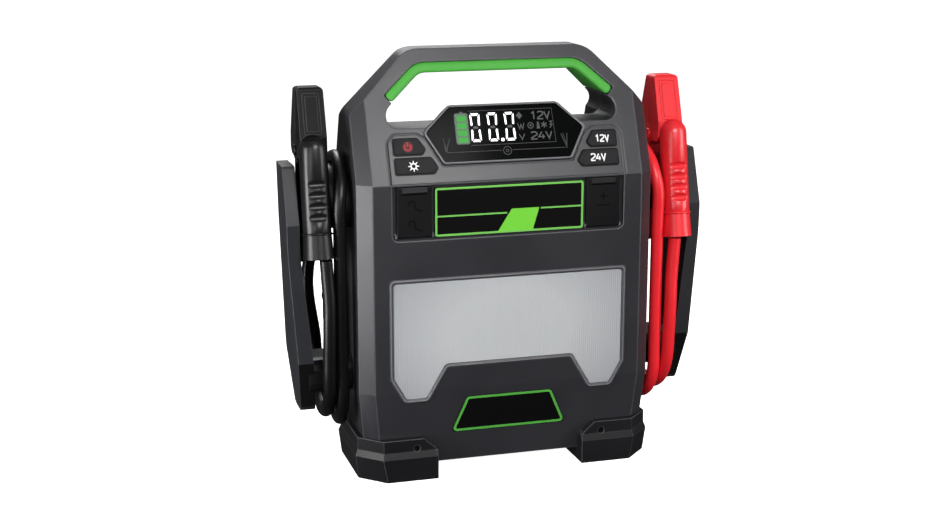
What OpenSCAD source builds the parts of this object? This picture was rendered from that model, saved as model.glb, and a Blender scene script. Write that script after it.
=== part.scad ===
// Portable jump starter: carrying case, console, work light, side cleats with wound leads and two clamps.
// Millimetres. X to the right, Y to the rear, Z up, origin on the ground below the middle of the case.

/* [Case] */
// Half width of the case at its sides
case_half_w = 123.8; // [122:0.2:126]
// Height of the whole object
total_h = 345; // [344:0.1:348]
// Half depth of the case
case_half_d = 50; // [49:0.5:51]
// Height of the crease where the front starts to lean back
crease_z = 243; // [242.5:0.1:243.5]
// Lean of the console, as depth per height
lean = 0.4; // [0.39:0.01:0.41]
// Wall thickness of the case
wall = 3; // [2.6:0.1:3.2]
// Depth position of the parting plane between the two shells
part_y = 4; // [3:0.5:5]

/* [Handle] */
// Height of the sill of the hand opening
sill_z = 285; // [284.5:0.5:285.5]
// Half width of the hand opening
hand_half_w = 96.3; // [95.5:0.1:96.5]
// Thickness of the soft grip
grip_t = 8.4; // [7.8:0.1:8.8]

/* [Console] */
// How far the button caps stand proud of the console
button_proud = 1.2; // [0.8:0.1:1.6]

/* [Cable] */
// Diameter of the starter leads
cable_d = 10.4; // [9.6:0.1:10.6]
// Rings along each half turn of the hank
rings = 9; // [7:1:12]

/* [Clamps] */
// Sideways position of the clamps
clamp_x = 151.4; // [151.2:0.1:151.6]
// Height of the clamp pivots
pivot_z = 266; // [265.5:0.5:266.5]
// Depth position of the clamp pivots
pivot_y = 5.5; // [5:0.5:6]
// Angle of the front handle to the middle plane of its clamp
handle_splay = 9.8; // [9.6:0.1:10]
// Radius of the front handles of the clamps
grip_r = 11.3; // [11.1:0.1:11.4]

/* [Hidden] */
$fn = 48;

CHARCOAL = "#46474b";
DARK = "#2b2c2f";
BLACK = "#141416";
GREEN = "#5fbf3f";
RED = "#d0202a";
FROST = "#c9ced3";
COPPER = "#c07a45";
STEEL = "#b9bcc0";
BOARD = "#1f6b46";

far = 400;
floor_z = 11;
taper_z = 73;
floor_half_w = 118.2;
// How far the front leans inwards from the taper's start down to the floor of the case
front_taper = 4.5;
taper_angle = atan(front_taper / (taper_z - floor_z));
shoulder_z = 296.6;
top_half_w = case_half_w + shoulder_z - total_h;
rear_lean_z = 250;
rear_top_y = 12;
front_top_y = -case_half_d + lean * (total_h - crease_z);
lean_angle = atan(lean);
front_chamfer = [9, -11.3, 0];
low_chamfer = front_chamfer - [
    0, 0, (front_chamfer.x * (case_half_w - floor_half_w) - front_chamfer.y * front_taper) / (taper_z - floor_z)
];
chamfer_x = 112.5;
rear_chamfer_x = case_half_w - 14;
rear_slope = (case_half_d - rear_top_y) / (total_h - rear_lean_z);

// ---------- outlines and small helpers ----------

function unit(v) = v / norm(v);
function mix(a, b, f) = a + (b - a) * f;
function ease(f) = f * f * (3 - 2 * f);

// Mirrors the right half of an outline, given from bottom to top, to a closed one.
function both_sides(pts) = concat(pts, [for (i = [len(pts) - 1:-1:0]) [-pts[i].x, pts[i].y]]);
function both_radii(r) = concat(r, [for (i = [len(r) - 1:-1:0]) r[i]]);

// Moves every edge of a counter-clockwise outline inwards by t.
function inset(p, t) = [
    for (i = [0:len(p) - 1])
        let (
            b = p[i],
            u = unit(b - p[(i + len(p) - 1) % len(p)]),
            v = unit(p[(i + 1) % len(p)] - b),
            n1 = [-u.y, u.x],
            n2 = [-v.y, v.x]
        )
        b + t * (n1 + n2) / (1 + n1 * n2)
];

function corner(a, b, c, r, steps) =
    r < 0.05 ? [b] :
    let (
        u = unit(a - b),
        v = unit(c - b),
        half = acos(u * v) / 2,
        reach = r / tan(half),
        m = b + unit(u + v) * r / sin(half),
        s = b + u * reach - m,
        e = b + v * reach - m,
        a0 = atan2(s.y, s.x),
        turn = (atan2(e.y, e.x) - a0 + 540) % 360 - 180
    )
    [for (k = [0:steps]) m + r * [cos(a0 + turn * k / steps), sin(a0 + turn * k / steps)]];

// Rounds the corners of an outline, one radius for each.
function rounded(p, radii, steps = 5) = [
    for (i = [0:len(p) - 1])
        each corner(p[(i + len(p) - 1) % len(p)], p[i], p[(i + 1) % len(p)], radii[i], steps)
];
function evenly(p, r) = rounded(p, [for (q = p) r], 3);

// Extrudes an outline drawn in X and Z from y0 to y1.
module along_y(y0, y1) translate([0, y1, 0]) rotate([90, 0, 0]) linear_extrude(y1 - y0) children();

// Extrudes an outline drawn in Y and Z from x0 to x1.
module along_x(x0, x1) translate([x0, 0, 0]) rotate([90, 0, 90]) linear_extrude(x1 - x0) children();

// Everything past a plane through p that faces along n.
module beyond(p, n)
    translate(p) rotate([0, acos(n.z / norm(n)), atan2(n.y, n.x)]) translate([-far, -far, 0])
        cube([2 * far, 2 * far, 2 * far]);

// A round bar from p to q.
module bar(p, q, r) {
    d = q - p;
    translate(p) rotate([0, acos(d.z / norm(d)), atan2(d.y, d.x)]) cylinder(h = norm(d), r = r);
}

module block(low, high) translate(low) cube(high - low);

// The frame of the tapered front below the work light: z up its face from the crease.
module on_taper() translate([0, -case_half_d, taper_z]) rotate([taper_angle, 0, 0]) children();

// The frame of the console: x across, z up the leaning face, y into the case.
module on_console() translate([0, -case_half_d, crease_z]) rotate([-lean_angle, 0, 0]) children();

module front_half() intersection() {
    children();
    block([-far, -far, -far], [far, part_y, far]);
}

module rear_half() intersection() {
    children();
    block([-far, part_y, -far], [far, far, far]);
}

// ---------- case ----------

case_points = both_sides([
    [floor_half_w, floor_z], [case_half_w, taper_z], [case_half_w, shoulder_z], [top_half_w, total_h]
]);
side_points = [
    [-case_half_d + front_taper, floor_z], [case_half_d, floor_z], [case_half_d, rear_lean_z],
    [rear_top_y, total_h], [front_top_y, total_h], [-case_half_d, crease_z], [-case_half_d, taper_z]
];
hand_points = both_sides([[hand_half_w, sill_z], [hand_half_w, 299], [65.6, 326.2]]);
hand_radii = both_radii([9, 11, 13]);
sill_slope = [[6, sill_z], [46, 270], [70, 270], [70, 292], [6, 292]];

function rear_y(z) = case_half_d - max(0, z - rear_lean_z) * rear_slope;

// The outer form of the case, with every face moved inwards by t.
module envelope(t = 0) {
    difference() {
        intersection() {
            along_y(-far, far)
                polygon(rounded(inset(case_points, t), both_radii([3, 0, 9, 24 - max(t, 0)]), 7));
            along_x(-far, far)
                polygon(inset(side_points, t));
        }
        for (s = [-1, 1]) {
            for (n = [front_chamfer, front_chamfer - [0, 0, front_chamfer.y * lean]])
                beyond(chamfer_point(n, t, s, crease_z), [s * n.x, n.y, n.z]);
            beyond(chamfer_point(low_chamfer, t, s, taper_z), [s * low_chamfer.x, low_chamfer.y, low_chamfer.z]);
            beyond(rear_point([1, 1, 0], t, s), [s, 1, 0]);
            beyond(rear_point([1, 1, rear_slope], t, s), [s, 1, rear_slope]);
            beyond(diagonal_point([1, 0.6, 1], t, s), [s, 0.6, 1]);
        }
    }
}

function chamfer_point(n, t, s, z) =
    let (p = [chamfer_x, -case_half_d, z] - unit(n) * t) [s * p.x, p.y, p.z];
function diagonal_point(n, t, s) =
    let (p = [top_half_w, 10, total_h] - unit(n) * t) [s * p.x, p.y, p.z];
function rear_point(n, t, s) =
    let (p = [rear_chamfer_x, case_half_d, rear_lean_z] - unit(n) * t) [s * p.x, p.y, p.z];

module hand_opening(t = 0) {
    along_y(-far, far)
        polygon(rounded(inset(hand_points, -t), hand_radii + [for (r = hand_radii) t]));
    along_x(-hand_half_w + 2 - t, hand_half_w - 2 + t)
        polygon(inset(sill_slope, -t));
}

// The ring round the opening that the soft grip fills, cut square to the diagonals at its ends.
module grip_ring(t = 0) difference() {
    along_y(-far, far)
        difference() {
            polygon(rounded(inset(hand_points, -grip_t - t), hand_radii + [for (r = hand_radii) grip_t + t]));
            polygon(rounded(inset(hand_points, 0), hand_radii));
        }
    for (s = [-1, 1])
        beyond([s * 92, 0, 305.6 - t], [s * 0.746, 0, -0.665]);
    block([-90, -far, 0], [90, far, 300]);
}

module cavity() difference() {
    intersection() {
        envelope(wall);
        block([-far, -far, 0], [far, far, 300]);
    }
    hand_opening(wall);
}

module case_solid() difference() {
    envelope();
    hand_opening();
    grip_ring(0.05);
    cavity();
}

// x, z of the case screws
case_screw_at = [for (s = [-1, 1]) each [[s * 105, 48], [s * 107, 172], [s * 110, 272], [s * 40, 340]]];
function in_bar(z) = z > 320;
function head_y(z) = in_bar(z) ? 9.5 : rear_y(z) - 7;

foot_screw_at = [79.5, 27];
// y, z of the cleat screws
cleat_screw_at = [[-11, 84], [13, 84], [-6, 226], [24, 218]];
gland_at = [30, 138];

light_points = both_sides([[54.3, 94.8], [70.3, 67.3], [86.8, 67.3], [97, 85.5], [97, 163.6]]);
light_radii = both_radii([6, 4, 4, 1.5, 3]);
function light_outline(t) = rounded(inset(light_points, t), light_radii, 3);

port_half_w = 97;
port_low = 198;
port_outline = rounded(
    both_sides([[port_half_w, port_low], [port_half_w, 241.9]]), both_radii([5, 0]), 3
);

console_points = both_sides([
    [97, 0.6], [97, 34], [92, 39.8], [73, 39.8], [66.6, 35.5], [54.8, 12.9]
]);
console_edge = rounded(
    concat(
        [for (i = [0:4]) console_points[i]], [[54.8, 13]], [[-54.8, 13]],
        [for (i = [7:11]) console_points[i]]
    ),
    [0, 4, 4, 4, 2, 2, 2, 2, 4, 4, 4, 0], 3
);
rim_points = both_sides([[53.6, 14.6], [68, 41], [45.7, 62.6]]);
rim_radii = both_radii([4, 4, 6]);
function rim_outline(t) = rounded(inset(rim_points, t), rim_radii, 4);
rim_depth = 16;

// The pocket for the console panel, with a groove round the panel on the outside.
module console_cut() on_console() {
    along_y(-6, 6) polygon(inset(console_edge, -0.15));
    intersection() {
        along_y(-6, 1.2) polygon(inset(console_edge, -1.7));
        block([-120, -10, 0.45], [120, 10, 60]);
    }
}
module rim_cut() on_console() along_y(-6, rim_depth + 0.3) polygon(rim_outline(-0.2));

module side_screw_holes(s, r) for (p = cleat_screw_at)
    bar([s * 112, p.x, p.y], [s * 130, p.x, p.y], r);

module front_shell() color(CHARCOAL) difference() {
    union() {
        front_half() case_solid();
        intersection() {
            envelope(1);
            union() {
                for (p = case_screw_at)
                    if (!in_bar(p.y)) bar([p.x, -case_half_d, p.y], [p.x, part_y, p.y], 4.2);
                for (s = [-1, 1])
                    bar([s * foot_screw_at.x, -case_half_d, foot_screw_at.y], [s * foot_screw_at.x, -37, foot_screw_at.y], 4);
            }
        }
        light_bead();
    }
    for (p = case_screw_at)
        bar([p.x, -9, p.y], [p.x, part_y + 1, p.y], 1.3);
    for (s = [-1, 1]) {
        bar([s * foot_screw_at.x, -60, foot_screw_at.y], [s * foot_screw_at.x, -38.5, foot_screw_at.y], 1.4);
        side_screw_holes(s, 1.9);
    }
    along_y(-60, -40) polygon(light_outline(-0.15));
    along_y(-case_half_d + wall + 0.05, -40) polygon(light_outline(-2.15));
    along_y(-60, -wall - 43) polygon(port_outline);
    console_cut();
    rim_cut();
}

// Thin raised bead round the work light.
module light_bead() along_y(-case_half_d - 0.5, -case_half_d + 2) difference() {
    polygon(light_outline(-2.6));
    polygon(light_outline(-1.2));
}

module rear_shell() color(CHARCOAL) difference() {
    union() {
        rear_half() case_solid();
        intersection() {
            envelope(1);
            union() {
                for (p = case_screw_at)
                    if (!in_bar(p.y)) bar([p.x, part_y, p.y], [p.x, case_half_d, p.y], 5);
                for (s = [-1, 1])
                    bar([s * foot_screw_at.x, 37, foot_screw_at.y], [s * foot_screw_at.x, case_half_d, foot_screw_at.y], 4);
                for (s = [-1, 1]) {
                    block([s * 40 - 1.5, part_y, floor_z], [s * 40 + 1.5, case_half_d, tray_low - 0.1]);
                    block([s * 55 - 1.5, 43.2, 150], [s * 55 + 1.5, case_half_d, board_z - 0.1]);
                    block([s * 55 - 1.5, 25, board_z - 5.5], [s * 55 + 1.5, case_half_d, board_z - 0.1]);
                }
            }
        }
    }
    for (p = case_screw_at) {
        bar([p.x, part_y - 1, p.y], [p.x, head_y(p.y) + 1, p.y], 1.7);
        bar([p.x, head_y(p.y), p.y], [p.x, 60, p.y], 3.2);
    }
    for (s = [-1, 1]) {
        bar([s * foot_screw_at.x, 38.5, foot_screw_at.y], [s * foot_screw_at.x, 60, foot_screw_at.y], 1.4);
        side_screw_holes(s, 1.9);
        bar([s * 110, gland_at.x, gland_at.y], [s * 130, gland_at.x, gland_at.y], 6.2);
    }
}

module handle_grip() color(GREEN) intersection() {
    grip_ring(0);
    envelope(-0.8);
}

module case_screws() color(STEEL) for (p = case_screw_at) {
    bar([p.x, -8, p.y], [p.x, head_y(p.y) + 0.1, p.y], 1.25);
    difference() {
        bar([p.x, head_y(p.y), p.y], [p.x, head_y(p.y) + 2.2, p.y], 2.9);
        bar([p.x, head_y(p.y) + 1, p.y], [p.x, head_y(p.y) + 3, p.y], 1.2);
    }
}

// ---------- console ----------

power_cap = [[-92.6, 24.2], [-70.6, 24.2], [-68, 28], [-73.6, 36.4], [-92.6, 36.4]];
light_cap = [[-92.6, 8.6], [-62, 8.6], [-59, 12.8], [-63.8, 20.6], [-92.6, 20.6]];
function other_side(p) = [for (i = [len(p) - 1:-1:0]) [-p[i].x, p[i].y]];
panel_t = 3;
board_y = 9.6;

module console_panel() color(CHARCOAL) on_console() difference() {
    along_y(0, panel_t) polygon(console_edge);
    for (cap = [power_cap, light_cap, other_side(power_cap), other_side(light_cap)])
        along_y(-1, 4) polygon(evenly(inset(cap, -0.3), 2));
    along_y(-1, rim_depth) polygon(rim_outline(-0.15));
}

// Cap, retaining flange and plunger of one button.
module button(cap) color(DARK) on_console() {
    along_y(-button_proud, 4.4) polygon(evenly(cap, 1.8));
    along_y(panel_t + 0.2, 4.4) polygon(evenly(inset(cap, -1.1), 2));
    middle = [(min([for (p = cap) p.x]) + max([for (p = cap) p.x])) / 2, (cap[0].y + cap[3].y) / 2];
    bar([middle.x, 4.3, middle.y], [middle.x, 5.0, middle.y], 1.6);
}

module power_button() button(power_cap);
module light_button() button(light_cap);
module volt12_button() button(other_side(power_cap));
module volt24_button() button(other_side(light_cap));

module display_bezel() color(BLACK) on_console() difference() {
    union() {
        along_y(-0.7, panel_t) polygon(rim_outline(0));
        intersection() {
            along_y(panel_t - 0.1, rim_depth) polygon(rim_outline(0));
            block([-80, 0, 36], [80, 20, 70]);
        }
    }
    along_y(-2, 2.2) polygon(rim_outline(1.8));
    along_y(2, rim_depth - 2) polygon(rim_outline(3.4));
}

module display_lens() color("#0c0d10") on_console() along_y(0.2, 1.9) polygon(rim_outline(1.95));

module lcd_module() color("#3a3f3c") on_console() block([-43, 3.2, 24], [43, 8.6, 57]);

module control_board() {
    color(BOARD) on_console() {
        block([-91, board_y, 6], [91, board_y + 1.6, 35.4]);
        block([-41, board_y, 34.9], [41, board_y + 1.6, 57]);
    }
    color(BLACK) on_console() for (s = [-1, 1])
        for (p = [[s * 80.3, 30.3], [s * 75.8, 14.6]])
            block([p.x - 3, 6, p.y - 3], [p.x + 3, board_y, p.y + 3]);
}

// ---------- ports ----------

cover_low = 200;
cover_high = 241;
cover_in = 64.8;
cover_out = 93.2;
cover_axis = [-48.7, 201.7];
panel_y = -46.9;

module port_panel() color(BLACK) {
    difference() {
        block([-101, panel_y, 195.4], [101, -44.4, 242.2]);
        along_y(-60, -40) {
            translate([-87, 222]) square([17, 15]);
            translate([-79, 210.5]) circle(6.6);
            translate([79, 220]) circle(7.6);
        }
    }
    for (s = [-1, 1])
        difference() {
            for (x = [cover_in - 1.7, cover_out + 0.2])
                block([min(s * x, s * (x + 1.5)), -50.2, 200.2], [max(s * x, s * (x + 1.5)), panel_y + 0.1, 203.2]);
            bar([s * 60, cover_axis.x, cover_axis.y], [s * 97, cover_axis.x, cover_axis.y], 0.8);
        }
}

// One port cover, drawn for the right side, with its hinge barrel and pull tab.
module port_cover() difference() {
    union() {
        block([cover_in, -50.3, cover_axis.y], [cover_out, -47.2, cover_high]);
        bar([cover_in, cover_axis.x, cover_axis.y], [cover_out, cover_axis.x, cover_axis.y], 1.6);
        along_x(cover_in + 4, cover_out - 4)
            polygon([[-50.2, 235], [-52, 236.4], [-52, 237.2], [-50.2, 240.6]]);
    }
    bar([cover_in - 1, cover_axis.x, cover_axis.y], [cover_out + 1, cover_axis.x, cover_axis.y], 0.84);
}

module right_port_cover() color(BLACK) port_cover();
module left_port_cover() color(BLACK) mirror([1, 0, 0]) port_cover();

module cover_pins() color(STEEL) for (s = [-1, 1])
    bar([s * (cover_in - 1.6), cover_axis.x, cover_axis.y], [s * (cover_out + 1.6), cover_axis.x, cover_axis.y], 0.8);

module usb_socket() color(STEEL) difference() {
    block([-86.6, -46.6, 222.4], [-70.4, -30, 236.6]);
    for (z = [224, 230.4])
        block([-85, -47, z], [-72, -34, z + 5]);
}

// A round socket with its bore and middle contact.
module round_socket(x, z, r) {
    difference() {
        bar([x, -46.6, z], [x, -30, z], r);
        bar([x, -47, z], [x, -33, z], r - 2.4);
    }
    bar([x, -45.5, z], [x, -32, z], 1.1);
}

module dc_output_socket() color(DARK) round_socket(-79, 210.5, 6.4);
module dc_input_socket() color(DARK) round_socket(79, 220, 7.4);

module label_plate() color(BLACK)
    along_y(-49.3, panel_y) polygon(evenly([[-62.4, 199.8], [62.4, 199.8], [62.4, 239.6], [-62.4, 239.6]], 1));

module badge_plate() color(BLACK) on_taper()
    along_y(-1, -0.03) polygon(evenly([[-49, -37.1], [49, -37.1], [36.5, -7.2], [-36.5, -7.2]], 2.5));

// ---------- work light ----------

module work_light_lens() color(FROST) {
    along_y(-49.6, -46.9) polygon(light_outline(0.1));
    along_y(-46.9, -45.4) polygon(light_outline(-2));
}

module light_reflector() color("white") difference() {
    along_y(-45.3, -32) polygon(light_outline(-1));
    along_y(-46, -33.4) polygon(light_outline(0.8));
}

module light_board() {
    color("white") block([-88, -35.2, 110], [88, -33.5, 150]);
    color("#f4f0b0") for (x = [-80:20:80], z = [120, 140])
        block([x - 1.8, -36.2, z - 1.8], [x + 1.8, -35.2, z + 1.8]);
}

// ---------- power ----------

cell_r = 16.1;
cell_h = 70;
tray_low = 28;
cell_low = 30;
layer_gap = 3.2;
board_z = 182;
cell_x = [-50.1, -16.7, 16.7, 50.1];
cell_y = [-8.6, 24.8];
layers = [cell_low, cell_low + cell_h + layer_gap];
stack_top = layers[1] + cell_h;

module cell_grid() for (x = cell_x, y = cell_y) translate([x, y, 0]) children();

module battery_cells() color("#3d6fb0") for (z = layers)
    translate([0, 0, z]) cell_grid() cylinder(h = cell_h, r = cell_r);

module cell_trays() color(DARK) difference() {
    for (span = [[tray_low, 36], [94, 109.2], [stack_top - 6, stack_top + 2]])
        block([-68, -26.6, span[0]], [68, 42.8, span[1]]);
    for (z = layers) translate([0, 0, z - 0.1]) cell_grid() cylinder(h = cell_h + 0.2, r = cell_r + 0.15);
    for (z = [tray_low - 1, stack_top - 1]) translate([0, 0, z]) cell_grid() cylinder(h = 4, r = 5);
}

module busbars() color(COPPER) for (x = cell_x)
    block([x - 6, cell_y[0] - 8, stack_top + 2.1], [x + 6, cell_y[1] + 8, stack_top + 3.1]);

module power_board() color(BOARD) block([-64, -18, board_z], [64, 42.8, board_z + 1.6]);

relay_top = 214;
module start_relays() color("#23262b") for (s = [-1, 1])
    block([s * 34 - 17, 0, board_z + 1.7], [s * 34 + 17, 34, relay_top]);

// Lead inside the case, from a relay down to its gland.
module inner_lead() {
    x = 84;
    y = gland_at.x;
    z = relay_top - 10;
    bar([51.2, y - 6, z], [x, y - 6, z], 4);
    translate([x, y - 6, z]) sphere(4.4);
    bar([x, y - 6, z], [x, y, gland_at.y], 4);
    translate([x, y, gland_at.y]) sphere(4.4);
    bar([x, y, gland_at.y], [109.5, y, gland_at.y], 4);
}

module red_inner_lead() color(RED) inner_lead();
module black_inner_lead() color(BLACK) mirror([1, 0, 0]) inner_lead();

// ---------- feet ----------

foot_edge = [
    [62, -56.5], [108, -56.5], [127, -37.5], [127, 30], [101.7, 56.5], [62, 56.5]
];
foot_top = 34.8;
ridge_low = 19.5;
ridge_high = 24.6;

module foot() difference() {
    union() {
        linear_extrude(foot_top) polygon(inset(foot_edge, 2));
        difference() {
            linear_extrude(ridge_high) polygon(foot_edge);
            for (i = [0:4]) {
                a = foot_edge[i];
                d = unit(foot_edge[i + 1] - a);
                beyond([a.x, a.y, ridge_low], [d.y * 5.1, -d.x * 5.1, 2]);
            }
        }
    }
    for (i = [1:3]) {
        a = foot_edge[i];
        d = unit(foot_edge[i + 1] - a);
        beyond([a.x, a.y, ridge_low], [d.y * 8, -d.x * 8, -1]);
    }
    beyond([63.8, 0, 26], [-9, 0, 10]);
    envelope(-0.1);
    block([74, -46, 4], [112, 46, floor_z + 1]);
    for (s = [-1, 1]) {
        bar([foot_screw_at.x, s * 60, foot_screw_at.y], [foot_screw_at.x, s * 40, foot_screw_at.y], 1.6);
        bar([foot_screw_at.x, s * 60, foot_screw_at.y], [foot_screw_at.x, s * 52, foot_screw_at.y], 2.7);
    }
}

module right_foot() color(DARK) foot();
module left_foot() color(DARK) mirror([1, 0, 0]) foot();

module foot_screws() color(STEEL) for (s = [-1, 1], t = [-1, 1]) {
    x = s * foot_screw_at.x;
    z = foot_screw_at.y;
    bar([x, t * 39, z], [x, t * 52.1, z], 1.35);
    difference() {
        bar([x, t * 52.05, z], [x, t * 53.6, z], 2.5);
        bar([x, t * 53, z], [x, t * 54, z], 1.1);
    }
}

// ---------- cleats ----------

saddle = [5.5, 222.8];
saddle_r = 30.6;
saddle_end = 140.8;
lower_arm = evenly([[-21, 69], [21, 69], [21, 97.8], [-21, 97.8]], 9);

module cleat() difference() {
    union() {
        intersection() {
            along_y(-40, 50)
                polygon([[153.6, 51.8], [165.4, 51.8], [169.6, 96.6], [176.3, 190], [176.2, 255.3],
                    [166, 255.3], [166, 186], [157, 96.6]]);
            along_x(140, 180)
                polygon(rounded([[-9, 51.8], [18, 51.8], [30, 96.6], [30, 210.2], [24, 255.3], [-8.7, 255.3],
                    [-24.9, 210.2], [-24.5, 96.6]], [6, 6, 2, 2, 3, 3, 2, 2], 3));
        }
        along_x(case_half_w + 0.1, 160) polygon(lower_arm);
        intersection() {
            bar([case_half_w + 0.1, saddle.x, saddle.y], [saddle_end, saddle.x, saddle.y], saddle_r);
            block([100, -60, 206], [160, 60, 260]);
        }
        block([case_half_w + 0.1, 27.5, 208], [168, 35, 234]);
    }
    beyond([176.3, -24.9, 200], [1, 0.06, -0.03]);
    for (p = cleat_screw_at)
        bar([123, p.x, p.y], [136, p.x, p.y], 1.5);
}

module right_cleat() color(DARK) cleat();
module left_cleat() color(DARK) mirror([1, 0, 0]) cleat();

module cleat_screws() color(STEEL) for (s = [-1, 1], p = cleat_screw_at) {
    bar([s * 120, p.x, p.y], [s * 135, p.x, p.y], 1.4);
    bar([s * 118.4, p.x, p.y], [s * 120.7, p.x, p.y], 3);
}

// ---------- leads ----------

boot_top = -63;
boot_low = -83;
grip_axis = [1.4, -24, 0];
// Where the lead leaves the boot, from the middle of the boot
lead_offset = [-4, -2];
lead_start = [
    clamp_x + grip_axis.x + lead_offset.x,
    pivot_y + grip_axis.y + boot_low * sin(handle_splay) + lead_offset.y,
    pivot_z + boot_low * cos(handle_splay) - 0.8
];

run_1 = [146.6, -34.6];
// How far the black and the red lead run outwards of that
black_out = -1.4;
red_out = 1.2;
rear_1 = 42;
front_2 = -31;
rear_2 = gland_at.x;
top_r = (rear_1 - front_2) / 2;
low_r = (rear_1 - run_1.y) / 2;
inner_r = (rear_2 - front_2) / 2;
top_c = saddle.y;
low_c = 87;
inner_c = 72.7;
gland_low = 118;

// The hank: down the front, under the lower arm, up the rear, over the saddle, and once more half way.
function hank(out) = concat(
    [lead_start + [out, 0, 0], [lead_start.x - 0.6 + out, mix(lead_start.y, run_1.y, 0.6), lead_start.z - cable_d]],
    [for (k = [1:rings / 2]) let (f = k / (rings / 2))
        [run_1.x + out * (1 - f), run_1.y - 1.5 * sin(180 * f), mix(164, low_c + 4, f)]],
    [for (k = [0:rings]) let (a = 180 * k / rings)
        [mix(run_1.x, 142.5, a / 180), run_1.y + low_r - low_r * cos(a), low_c - low_r * sin(a)]],
    [for (k = [1:rings - 1]) let (f = k / rings)
        [mix(142.5, 134.8, ease(f)) + 9.5 * pow(sin(180 * f), 2), rear_1, mix(low_c, top_c, f)]],
    [for (k = [0:rings]) let (a = 180 * k / rings)
        [mix(134.8, 135.4, a / 180) - 5 * sin(a), rear_1 - top_r + top_r * cos(a), top_c + top_r * sin(a)]],
    [for (k = [1:rings - 1]) let (f = k / rings)
        [135.4, front_2, mix(top_c, inner_c, f)]],
    [for (k = [0:rings]) let (a = 180 * k / rings)
        [mix(135.4, 131, a / 180), front_2 + inner_r - inner_r * cos(a), inner_c - inner_r * sin(a)]],
    [for (z = [inner_c + 12, inner_c + 28, gland_low]) [131, rear_2, z]]
);

// Least gap between stretches of a hank that aren't neighbours.
function run_length(h, i, j) = i >= j ? 0 : norm(h[i + 1] - h[i]) + run_length(h, i + 1, j);
function self_gap(h) = min([
    for (i = [0:len(h) - 6], j = [i + 5:len(h) - 1])
        if (run_length(h, i, j) > 3 * cable_d) norm(h[i] - h[j])
]) - cable_d;
echo(least_gap_of_each_hank_to_itself = [for (out = [black_out, red_out]) self_gap(hank(out))]);

module tube(path, r, sides) {
    last = len(path) - 1;
    pts = [
        for (i = [0:last])
            let (
                t = unit(path[min(i + 1, last)] - path[max(i - 1, 0)]),
                a = unit(cross(t, [1, 0, 0])),
                b = cross(t, a)
            )
            each [for (k = [0:sides - 1]) path[i] + r * (a * cos(k * 360 / sides) + b * sin(k * 360 / sides))]
    ];
    walls = [
        for (i = [0:last - 1], k = [0:sides - 1])
            let (a = i * sides + k, b = i * sides + (k + 1) % sides)
            each [[a, a + sides, b + sides], [a, b + sides, b]]
    ];
    caps = [
        for (k = [1:sides - 2])
            each [[0, k, k + 1], [last * sides, last * sides + k + 1, last * sides + k]]
    ];
    polyhedron(pts, concat(walls, caps));
}

module red_cable() color(RED) tube(hank(red_out), cable_d / 2, 6);
module black_cable() color(BLACK) mirror([1, 0, 0]) tube(hank(black_out), cable_d / 2, 6);

module gland() {
    at = [131, gland_at.x, gland_at.y];
    bar([110, at.y, at.z], at, 6);
    translate(at) sphere(7.9);
    bar([at.x, at.y, gland_low], at, 7.1);
    block([case_half_w + 0.1, at.y - 9, at.z - 11], [case_half_w + 3, at.y + 5.5, at.z + 11]);
}

module right_gland() color(DARK) gland();
module left_gland() color(DARK) mirror([1, 0, 0]) gland();

// ---------- clamps ----------

cheek_r = 9;
cheek_clear = 9.4;
cheek_out = 11;
pin_r = 2;
hood_top = 50.2;
grip_cut = 6;
// Finger grooves across the front handle
groove_at = [-50.3, -41.6, -32.9, -24.2];
groove_r = 3;
groove_depth = 2.6;
rear_axis = [0, 8, 0];
rear_splay = 3;
rear_r = 9.9;
rear_len = 94;

module in_clamp() translate([clamp_x, pivot_y, pivot_z]) children();
module in_handle() translate(grip_axis) rotate([-handle_splay, 0, 0]) children();

// A disc round the pivot between two sideways positions, on both sides of the middle.
module discs(x0, x1, r) for (s = [-1, 1])
    bar([s * x0, 0, 0], [s * x1, 0, 0], r);

// A round-topped handle that hangs down, its dome centred below its frame's origin by drop.
module handle(length, r, drop) {
    translate([0, 0, -length]) cylinder(h = length - drop, r = r);
    translate([0, 0, -drop]) sphere(r);
}

// The hood over one jaw, on the front side of the middle plane.
module hood() difference() {
    intersection() {
        along_y(-30, 0)
            polygon(rounded([[-10.9, -6], [10.9, -6], [10.6, hood_top], [-10.6, hood_top]], [0, 0, 3, 3], 3));
        along_x(-12, 12)
            polygon([[-16, -5], [-0.4, -5], [-0.4, hood_top], [-6.6, hood_top], [-8.8, hood_top - 1.8],
                [-20.8, 12], [-20.8, 0]]);
    }
    block([-7.3, -4.6, 11], [7.3, 0, hood_top - 2]);
}

module clamp_front() in_clamp() difference() {
    union() {
        difference() {
            union() {
                hood();
                intersection() {
                    in_handle() handle(-boot_top, grip_r, -3.5);
                    in_handle() block([-20, -20, boot_top], [20, grip_cut, 20]);
                }
            }
            bar([-7.65, 0, 0], [7.65, 0, 0], cheek_clear);
        }
        discs(7.7, cheek_out, cheek_r);
    }
    bar([-20, 0, 0], [20, 0, 0], pin_r + 0.05);
    in_handle() for (z = groove_at)
        bar([-20, -grip_r - groove_r + groove_depth, z], [20, -grip_r - groove_r + groove_depth, z], groove_r);
}

module clamp_rear() in_clamp() difference() {
    union() {
        difference() {
            union() {
                mirror([0, 1, 0]) hood();
                translate(rear_axis) rotate([rear_splay, 0, 0]) intersection() {
                    handle(rear_len, rear_r, 0);
                    block([-20, -4, -rear_len], [20, 20, 20]);
                }
            }
            bar([-4.8, 0, 0], [4.8, 0, 0], cheek_clear);
            discs(7.5, 20, cheek_clear);
        }
        discs(4.9, 7.45, cheek_r);
    }
    bar([-20, 0, 0], [20, 0, 0], pin_r + 0.05);
}

module clamp_boot() in_clamp() in_handle() translate([0, 0, boot_low])
    cylinder(h = boot_top - 0.05 - boot_low, r1 = 12.2, r2 = grip_r);

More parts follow.
